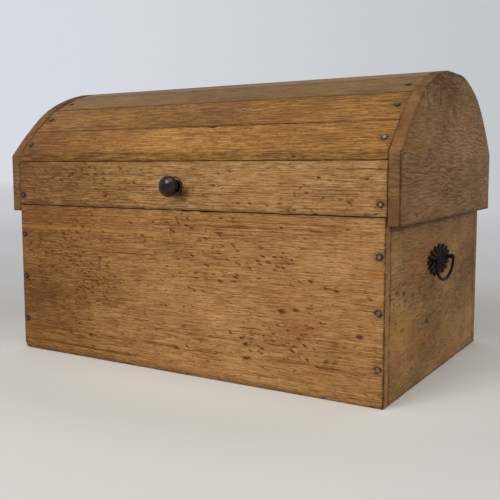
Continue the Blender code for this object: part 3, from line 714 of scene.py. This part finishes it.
endBoards = {
    "wormSpots": ((-0.17, 0.13, 0.12, 0.6), (0.0, 0.16, 0.14, 0.25)),
    "stains": ((0.19, 0.16, 0.1, 0.45, darkLine), (-0.03, 0.14, 0.05, 0.3, darkLine),
               (-0.19, 0.11, 0.05, 0.45, pale), (-0.21, 0.24, 0.02, 0.25, pale),
               (-0.12, 0.2, 0.05, 0.25, rust)),
    "pits": ((-0.206, 0.17), (-0.173, 0.163), (-0.135, 0.155), (-0.169, 0.151), (-0.209, 0.123),
             (-0.181, 0.106), (0.053, 0.095), (-0.06, 0.1), (-0.096, 0.158), (-0.136, 0.053)),
    "streaks": ((0.271, 0.0075, -1.0, 1.0, 0.55, crackAndShadowLine),),  # painted shadow under the cheek
    "worm": 0.22,
}
cheeks = {
    # These stains begin with how far out they lie: one inside the thickness shows on the cheek's edge
    "stains": ((1.0, -0.03, 0.5, 0.1, 0.5, darkLine), (1.0, -0.17, 0.4, 0.05, 0.22, pale),
               (0.975, -0.246, 0.404, 0.016, 0.3, blush), (1.0, -0.19, 0.44, 0.05, 0.25, blush),
               (0.975, -0.225, 0.445, 0.05, 0.34, darkLine), (0.975, -0.12, 0.51, 0.08, 0.35, darkLine)),
    "arris": (0.0022, 0.45), "worm": 0.07, "shade": (0.19, 0.08),
}

# Knocks in the arrises: centre, reach and depth
jointKnock = (0.049, -0.2095, 0.4325)
chips = {
    "front_stave_1": ((jointKnock, 0.009, 0.0024),),
    "front_stave_2": ((jointKnock, 0.009, 0.002), ((-0.11, -0.2095, 0.4325), 0.008, 0.001)),
    "front_board": onFront((halfLength, 0.226, 0.007, 0.0016), (halfLength, 0.214, 0.007, 0.0018),
                           (halfLength, 0.247, 0.006, 0.0014), (halfLength, 0.13, 0.007, 0.0012),
                           (0.06, 0.288, 0.01, 0.0016), (0.02, 0.288, 0.008, 0.0012),
                           (-halfLength, 0.0, 0.0085, 0.0034)),
}


def dressLong():
    for i, (node, given) in enumerate(boards.items()):
        material = oakFinish(f"{node}_oak", **given)
        lid = "stave" in node or "lid" in node
        low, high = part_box(node)
        across = 1 if high.y - low.y > high.z - low.z else 2
        bm = wornBoard(node, (0, across), i + 1, chips.get(node, ()))
        slot = "stave_oak" if "stave" in node else "front_oak"
        finishPiece(f"{node}_worn", bm, material, "lid_body" if lid else "box_body", [node])


def dressEnds():
    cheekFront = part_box("right_cheek")[0].y
    for i, side in enumerate(("left", "right")):
        node = f"{side}_end_board"
        face = math.copysign(halfLength, i - 0.5)
        pits = [(along, up, 0.006, 0.65, burnt) for along, up in endBoards["pits"]]
        material = oakFinish(f"{node}_oak", "end", (0.4 + i * 2.3, 0.8, 0.3), crossGrain=True,
                             worm=endBoards["worm"], wormSpots=onEnd(face, *endBoards["wormSpots"]),
                             stains=onEnd(face, *endBoards["stains"], *pits), streaks=endBoards["streaks"])
        finishPiece(f"{node}_worn", wornBoard(node, (1, 2), i + 31), material, "box_body", [node])
        node = f"{side}_cheek"
        face = math.copysign(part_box("right_cheek")[1].x, i - 0.5)
        stains = [((face * out, y, z), *rest) for out, y, z, *rest in cheeks["stains"]]
        material = oakFinish(f"{node}_oak", "cheek", (1.4 + i * 1.9, 0.3, 0.7), crossGrain=True,
                             worm=cheeks["worm"], shade=cheeks["shade"][i], stains=stains,
                             arris=((face, cheekFront, 0.0), *cheeks["arris"]))
        finishPiece(f"{node}_worn", wornBoard(node, (1, 2), i + 41), material, "lid_body", [node])


def dressInside():
    # These solids stay as they are and get bare oak
    inner = ["left_former", "right_former"] + [f"bottom_plank_{i}" for i in range(1, 4)]
    for i, node in enumerate(inner):
        material = oakFinish(f"{node}_oak", "inner", (i * 1.1, 0.2 * i, 0.6), crossGrain="former" in node)
        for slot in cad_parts[node].material_slots:
            slot.material = material


dressLong()
dressEnds()
dressInside()
print("boards made")


# Nails: low hammered heads

def growShank(bm, margin, depth):
    # The lowest face, less a margin, drawn down into the wood
    under = min(bm.faces, key=lambda face: face.calc_center_median().z)
    bmesh.ops.inset_region(bm, faces=[under], thickness=margin)
    shank = bmesh.ops.extrude_discrete_faces(bm, faces=[under])["faces"][0]
    bmesh.ops.translate(bm, verts=shank.verts, vec=(0, 0, -depth))


def hammeredNail(name, seat, out, seed, material, body, nodes=()):
    values = nailShape
    rng = random.Random(seed)
    bm = bmesh.new()
    bmesh.ops.create_cone(bm, cap_ends=True, segments=values["facets"], radius1=values["radius"],
                          radius2=values["radius"] * values["crown"], depth=values["height"],
                          matrix=Matrix.Translation((0, 0, values["height"] / 2)))
    for vert in bm.verts:
        spread = 1 + rng.uniform(-1, 1) * values["uneven"] / values["radius"]
        vert.co.x *= spread
        vert.co.y *= spread
        if vert.co.z > values["height"] / 2:
            vert.co.z -= rng.random() * values["uneven"]
    growShank(bm, values["radius"] - values["shank"], values["depth"])
    rub = bm.verts.layers.float.new("rub")
    bmesh.ops.bevel(bm, geom=[e for e in bm.edges if e.calc_face_angle(0.0) > 0.3], offset=0.00035,
                    offset_type="OFFSET", segments=2, profile=0.5, affect="EDGES", clamp_overlap=True,
                    material=-1)
    # Darker towards the rim of the head: partly the iron's own dark, partly painted shade of the gap round the
    # head
    for vert in bm.verts:
        vert[rub] = min(1.0, (vert.co.xy.length / values["radius"]) ** 3)
    turn = out.to_track_quat("Z", "Y").to_matrix().to_4x4() @ Matrix.Rotation(rng.uniform(0, 6), 4, "Z")
    finishPiece(name, setDown(bm, seat, turn), material, body, nodes)


def addNails():
    bright, dark = ironFinish("nail_bright", "nail"), ironFinish("nail_dark", "darkNail")
    for i, (node, (seat, out)) in enumerate(nailSpots.items()):
        lid = node.startswith("lid")
        # Nails in the second and third staves and on the left take the darker, duller iron: painted shade for
        # heads that face away from the light
        shaded = "stave_2" in node or "stave_3" in node or "left" in node
        hammeredNail(f"{node}_head", seat, out, i, dark if shaded else bright,
                     "lid_body" if lid else "box_body", [node])
        if lid:
            # The back of the lid is nailed as its front is
            back = Vector((seat.x, -seat.y, seat.z)), Vector((out.x, -out.y, out.z))
            hammeredNail(f"{node}_back", *back, i + 50, dark, "lid_body")


addNails()
print("nails made")

# Knob

knobShape = {"radius": 0.0185, "reach": 0.0315, "depthShare": 0.64, "neck": 0.0085, "footRadius": 0.0162,
             "footHeight": 0.0045, "spindle": 0.004, "inside": 0.0303, "ballSteps": 26, "turns": 64,
             "dent": 0.00022,
             # The foot's outline, as shares of its lip and of its height
             "foot": ((0.0, 1.42), (0.12, 1.16), (0.35, 1.0), (0.62, 0.93), (0.85, 0.75), (0.97, 0.52),
                      (1.0, 0.36), (0.99, 0.1), (0.97, 0.0))}


def arcRun(centre, radius, start, end, steps):
    angles = [math.radians(start + (end - start) * i / steps) for i in range(steps + 1)]
    return [(centre[0] + radius * math.cos(a), centre[1] + radius * math.sin(a)) for a in angles]


def lathe(profile, turns):
    # (radius, height) pairs turned about Z into a closed body
    bm = bmesh.new()
    row = [bm.verts.new((radius, 0.0, height)) for radius, height in profile]
    rail = [bm.edges.new(pair) for pair in zip(row, row[1:])]
    bmesh.ops.spin(bm, geom=row + rail, cent=(0, 0, 0), axis=(0, 0, 1), dvec=(0, 0, 0), angle=math.tau,
                   steps=turns, use_merge=True, use_duplicate=False)
    bmesh.ops.remove_doubles(bm, verts=bm.verts, dist=0.000005)
    bmesh.ops.dissolve_degenerate(bm, edges=bm.edges, dist=0.000001)
    bmesh.ops.recalc_face_normals(bm, faces=bm.faces)
    return bm


def addKnob():
    values = knobShape
    middle = values["reach"] - values["radius"] * values["depthShare"]
    neckAngle = -math.degrees(math.acos(values["neck"] / values["radius"]))
    profile = [(radius, middle + height * values["depthShare"]) for radius, height in
               arcRun((0, 0), values["radius"], 90, neckAngle, values["ballSteps"])]
    profile[0] = (0.0, values["reach"])
    lip = values["footRadius"] - values["neck"]
    profile += [(values["neck"] + lip * out, values["footHeight"] * up) for out, up in values["foot"]]
    profile += [(values["spindle"], 0.0003), (values["spindle"], -values["inside"]), (0.0, -values["inside"])]
    bm = lathe(profile, values["turns"])
    rub = bm.verts.layers.float.new("rub")
    # A dark band round the neck, between the ball and the foot: painted shade in that recess
    for vert in bm.verts:
        vert[rub] = max(0.0, 1 - abs(vert.co.z / middle - 0.55) / 0.3)
        if vert.co.z > 0.004:
            vert.co -= vert.co.normalized() * values["dent"] * (0.5 + 0.5 * noise.noise(vert.co * 160))
    setDown(bm, (knobSpot.x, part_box("lid_front_board")[0].y, knobSpot.z), Matrix.Rotation(math.pi / 2, 4, "X"))
    finishPiece("knob_turned", bm, ironFinish("knob_dark", "knob"), "lid_body", ["knob"], 40.0)


addKnob()
print("knob made")

# Drop handles

handleShape = {
    "petals": 16, "samples": 8, "notch": 0.25, "ridge": 0.0018, "rim": 0.0011, "dome": 0.002,
    # Rings of the plate, from the rim's underside up over the petals to the middle: how far out, and the
    # share of the rim, of the dome and of the ridges
    "rings": ((1.0, 0.0, 0.0, 0.0), (1.0, 0.6, 0.0, 0.0), (0.985, 1.0, 0.0, 0.45), (0.9, 1.0, 0.0, 0.85),
              (0.78, 1.0, 0.12, 1.0), (0.62, 1.0, 0.35, 0.9), (0.46, 1.0, 0.62, 0.7), (0.34, 1.0, 0.8, 0.5),
              (0.24, 1.0, 0.92, 0.25), (0.16, 1.0, 1.0, 0.0), (0.08, 1.0, 1.05, 0.0)),
    "boss": 0.0062, "bossHeight": 0.002,
    "spacing": 0.08, "reach": 0.012, "ball": 0.0047, "neck": 0.0026, "collar": 0.0052, "collarFoot": 0.0048,
    "collarTop": 0.006, "shank": 0.0028, "tail": 0.006, "tailStart": 0.0203, "tailEnd": 0.0225,
    "bail": 0.0024, "pin": 0.0018, "drop": 0.036, "corner": 0.0032, "sideGap": 0.0005, "pinEnd": 0.0008,
    "swell": 0.15, "hammered": 0.00012,
}


def petalPlate(face, sign, low, high):
    values = handleShape
    bm = bmesh.new()
    rub = bm.verts.layers.float.new("rub")
    middle = (low + high) / 2
    loops = []
    for out, rim, dome, ridge in values["rings"]:
        ring = bmesh.ops.create_circle(bm, segments=values["petals"] * values["samples"], radius=1)["verts"]
        for corner in ring:
            angle = math.atan2(corner.co.y, corner.co.x)
            wave = abs(math.cos(values["petals"] * angle / 2)) ** 0.7
            share = out * (1 - values["notch"] * (1 - wave) * out * out)
            corner.co.x = math.cos(angle) * share * (high.y - low.y) / 2
            corner.co.y = math.sin(angle) * share * (high.z - low.z) / 2
            corner.co.z = values["rim"] * rim + values["dome"] * dome + values["ridge"] * ridge * wave
            # Dark down the valleys between the petals, painted shade in the valleys, and darker towards the
            # middle
            corner[rub] = max((1 - wave) ** 0.9 * min(1.0, out * 2.2), 0.75 - out)
        loops.append(list({edge for corner in ring for edge in corner.link_edges}))
    bmesh.ops.contextual_create(bm, geom=loops[0])
    bmesh.ops.contextual_create(bm, geom=loops[-1])
    for inner, outer in zip(loops, loops[1:]):
        bmesh.ops.bridge_loops(bm, edges=inner + outer)
    bmesh.ops.recalc_face_normals(bm, faces=bm.faces)
    stand = Matrix.Rotation(sign * math.pi / 2, 4, "Z") @ Matrix.Rotation(math.pi / 2, 4, "X")
    return setDown(bm, (face, middle.y, middle.z), stand)


def eyePost(seat, sign):
    values = handleShape
    ballEnd = -math.degrees(math.acos(values["neck"] / values["ball"]))
    profile = arcRun((0, values["reach"]), values["ball"], 90, ballEnd, 14)
    profile[0] = (0.0, values["reach"] + values["ball"])
    profile += [(values["neck"], values["collarTop"]), (values["collar"], values["collarTop"] - 0.0002),
                (values["collar"], values["collarFoot"]), (values["shank"], values["collarFoot"]),
                (values["shank"], -values["tailStart"]), (values["tail"], -values["tailStart"]),
                (values["tail"] * 0.9, -values["tailStart"] - 0.001),
                (values["tail"] * 0.6, -values["tailEnd"]), (0.0, -values["tailEnd"] - 0.0001)]
    bm = lathe(profile, 28)
    # The boss that the post stands on
    middle = values["collarFoot"] - values["bossHeight"] / 2
    bmesh.ops.create_cone(bm, cap_ends=True, segments=28, radius1=values["boss"],
                          radius2=values["boss"] * 0.82, depth=values["bossHeight"],
                          matrix=Matrix.Translation((0, 0, middle)))
    return setDown(bm, seat, Matrix.Rotation(sign * math.pi / 2, 4, "Y"))


def bailRun():
    # Half of the bail's centre line from the pin in one eye to its lowest point, with its thickness
    values = handleShape
    arm = values["spacing"] / 2 + values["ball"] + values["sideGap"] + values["corner"]
    thin = values["pin"] / values["bail"]
    run = [(values["spacing"] / 2 - values["ball"] - values["pinEnd"], 0.0, thin),
           (arm - values["corner"] - values["sideGap"] / 2, 0.0, thin)]
    run += [(across, up, 1.0) for across, up in
            arcRun((arm - values["corner"], -values["corner"]), values["corner"], 90, 0, 8)]
    for i in range(1, 19):
        angle = math.pi / 2 * i / 18
        fall = values["corner"] + (values["drop"] - values["corner"]) * math.sin(angle)
        run.append((arm * math.cos(angle), -fall, 1 + values["swell"] * math.sin(angle) ** 2))
    return run


def bentBail(name, axis):
    values = handleShape
    half = bailRun()
    run = half + [(-across, up, thick) for across, up, thick in reversed(half[:-1])]
    curve = bpy.data.curves.new(name, "CURVE")
    curve.dimensions = "3D"
    curve.bevel_depth = values["bail"]
    curve.bevel_resolution = 5
    curve.use_fill_caps = True
    spline = curve.splines.new("POLY")
    spline.points.add(len(run) - 1)
    for point, (across, up, thick) in zip(spline.points, run):
        point.co = (axis[0], axis[1] + across, axis[2] + up, 1)
        point.radius = thick
    holder = addObject(name, curve)
    depsgraph = bpy.context.evaluated_depsgraph_get()
    mesh = bpy.data.meshes.new_from_object(holder.evaluated_get(depsgraph))
    bpy.data.objects.remove(holder)
    bm = bmesh.new()
    bm.from_mesh(mesh)
    bmesh.ops.remove_doubles(bm, verts=bm.verts, dist=0.00001)
    bmesh.ops.recalc_face_normals(bm, faces=bm.faces)
    for vert in bm.verts:
        vert.co += Vector((noise.noise(vert.co * 300), noise.noise(vert.co * 310), 0.0)) * values["hammered"]
    return bm


def addHandles():
    black = ironFinish("handle_black", "handle")
    for side, sign in (("left", -1), ("right", 1)):
        node = f"{side}_handle_plate"
        low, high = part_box(node)
        face = high.x if sign < 0 else low.x
        finishPiece(f"{side}_petal_plate", petalPlate(face, sign, low, high), black, "box_body",
                    [node])
        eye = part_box(f"{side}_bail")
        height = (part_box(f"{side}_front_post")[0].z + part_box(f"{side}_front_post")[1].z) / 2
        for which, across in (("front", -1), ("back", 1)):
            seat = (sign * halfLength, across * handleShape["spacing"] / 2, height)
            finishPiece(f"{side}_{which}_eye_post", eyePost(seat, sign), black, "box_body",
                        [f"{side}_{which}_post"], 40.0)
        axis = ((eye[0].x + eye[1].x) / 2, 0.0, height)
        finishPiece(f"{side}_bail_bent", bentBail(f"{side}_bail_run", axis), black, f"{side}_bail_body",
                    [f"{side}_bail"])


addHandles()
print("handles made")

# Hinges and the nut: the solids stay, and get their iron and their nails

hingeShape = {"holes": ((-0.28, 0.42), (0.28, 0.42), (0.0, 0.78)), "leafWidth": 0.038, "leafHeight": 0.056,
              "barrel": 0.0044, "leaf": 0.0022, "headRadius": 0.0032, "headHeight": 0.0014, "shank": 0.008}


def roundHead(name, place, body, material):
    values = hingeShape
    bm = bmesh.new()
    bmesh.ops.create_uvsphere(bm, u_segments=16, v_segments=10, radius=values["headRadius"])
    bmesh.ops.bisect_plane(bm, geom=everything(bm), dist=0.000001, plane_co=(0, 0, 0), plane_no=(0, 0, -1),
                           clear_outer=True)
    bmesh.ops.scale(bm, verts=bm.verts, vec=(1, 1, values["headHeight"] / values["headRadius"]))
    bmesh.ops.holes_fill(bm, edges=[e for e in bm.edges if e.is_boundary], sides=0)
    growShank(bm, values["headRadius"] * 0.45, values["shank"])
    setDown(bm, place, Matrix.Rotation(-math.pi / 2, 4, "X"))
    finishPiece(name, bm, material, body, (), 45.0)


def dressHinges():
    black = ironFinish("hinge_black", "hinge")
    for node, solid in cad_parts.items():
        if "hinge" in node or node == "knob_nut":
            for slot in solid.material_slots:
                slot.material = black
    values = hingeShape
    for side in ("left", "right"):
        for leaf, sign in (("box", -1), ("lid", 1)):
            low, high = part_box(f"{side}_hinge_{leaf}_leaf")
            middle = (low.x + high.x) / 2
            axis = high.z - values["barrel"] if sign < 0 else low.z + values["barrel"]
            face = low.y + values["leaf"]
            for i, (run, rise) in enumerate(values["holes"]):
                place = (middle + values["leafWidth"] * run, face, axis + sign * values["leafHeight"] * rise)
                roundHead(f"{side}_{leaf}_leaf_nail_{i + 1}", place, f"{leaf}_body", black)


dressHinges()
print("hinges made")

# Floor, light and surroundings

stageLook = {
    "lens": (0.85, 0.526, 0.0),  # the camera's level right and forward
    "depth": (-0.526, 0.85, 0.0),
    # Tones of the floor by distance behind the chest's middle, darker in a band behind the chest: painted shade
    # where the light falls off toward the backdrop
    "floor": ((-0.6, tone(208, 204, 197)), (-0.3, tone(204, 200, 193)), (-0.12, tone(200, 196, 190)),
              (0.1, tone(190, 188, 183)), (0.43, tone(182, 180, 176)), (0.95, tone(182, 182, 182)),
              (1.9, tone(187, 187, 189)), (4.5, tone(199, 200, 203))),
    "gain": 0.86,
    "footprint": (1 / 0.404, 1 / 0.276, 0.0),  # painted light: the floor round the chest is made paler, thinning the chest's shadow
    "near": (1.1, 1.8, 1.19, 0.97),            # from and to, in footprints, and the gain at both
    # The backdrop is painted lighter on the left and darker on the right: painted light falling from the left
    "left": tone(216, 219, 227), "right": tone(196, 199, 202),
    "ambient": 0.89,
    "aim": (0.0, 0.0, 0.25),
    "key": ((-0.8, -2.75, 2.2), 1.7, 43.0),  # place, size and power
    "top": ((0.5, -1.3, 2.6), 2.0, 15.0),
}


# Painted light: the backdrop grows darker from left to right
def backdropTone(slant):
    return blend(window(slant, -0.3, 0.36), stageLook["left"], stageLook["right"])


def mixedShader(factor, first, second):
    inputs = {0: factor, 1: Wire(first.outputs[0]), 2: Wire(second.outputs[0])}
    return Wire(addNode(factor.tree, "ShaderNodeMixShader", inputs).outputs[0])


def addStage():
    bm = bmesh.new()
    bmesh.ops.create_circle(bm, cap_ends=True, segments=96, radius=40.0)
    mesh = bpy.data.meshes.new("floor")
    bm.to_mesh(mesh)
    bm.free()
    floor = addObject("floor", mesh)
    material, shader, place = newMaterial("floor_paper")
    side, depth = [maths("DOT_PRODUCT", place, stageLook[word]) for word in ("lens", "depth")]
    stops = stageLook["floor"]
    colour = stops[0][1]
    for (near, before), (far, after) in zip(stops, stops[1:]):
        colour = blend(window(depth, near, far), colour, after)
    # The far floor runs into the backdrop's own tones
    colour = blend(window(depth, 4.5, 18.0), colour, backdropTone(side / (depth + 1.5)))
    # Painted light: round the chest the floor's colour is raised, thinning its shadow
    outward = maths("LENGTH", place * stageLook["footprint"])
    gain = window(outward, *stageLook["near"]) * stageLook["gain"]
    plug(shader, {"Base Color": colour * gain, "Roughness": 0.85, "Specular IOR Level": 0.2})
    # Away from the chest the floor glows with a plain painted tone of its own, lit by no lamp, so that it meets
    # the backdrop evenly
    plain = addNode(place.tree, "ShaderNodeEmission", {"Color": colour})
    output = next(n for n in place.tree.nodes if n.type == "OUTPUT_MATERIAL")
    plug(output, {"Surface": mixedShader(window(maths("LENGTH", place), 0.65, 1.3), shader, plain)})
    mesh.materials.append(material)


def addWorld():
    world = bpy.data.worlds.new("studio")
    bpy.context.scene.world = world
    world.use_nodes = True
    tree = world.node_tree
    tree.nodes.clear()
    direction = Wire(addNode(tree, "ShaderNodeTexCoord").outputs["Generated"])
    side, depth = [maths("DOT_PRODUCT", direction, stageLook[word]) for word in ("lens", "depth")]
    seen = addNode(tree, "ShaderNodeBackground", {"Color": backdropTone(side / depth)})
    lit = addNode(tree, "ShaderNodeBackground", {"Color": (1.0,) * 4, "Strength": stageLook["ambient"]})
    rays = addNode(tree, "ShaderNodeLightPath").outputs
    shown = pick("MAXIMUM", [Wire(rays[f"Is {kind} Ray"]) for kind in ("Camera", "Transmission", "Glossy")])
    addNode(tree, "ShaderNodeOutputWorld", {"Surface": mixedShader(shown, lit, seen)})


def addLamp(name):
    place, size, power = stageLook[name]
    data = bpy.data.lights.new(name, "AREA")
    data.shape = "DISK"
    data.size = size
    data.energy = power
    lamp = addObject(name, data)
    lamp.location = place
    aim = Vector(stageLook["aim"]) - Vector(place)
    lamp.rotation_euler = aim.to_track_quat("-Z", "Y").to_euler()


addStage()
addWorld()
addLamp("key")
addLamp("top")
bpy.context.scene.view_settings.view_transform = "Standard"
print("stage set")
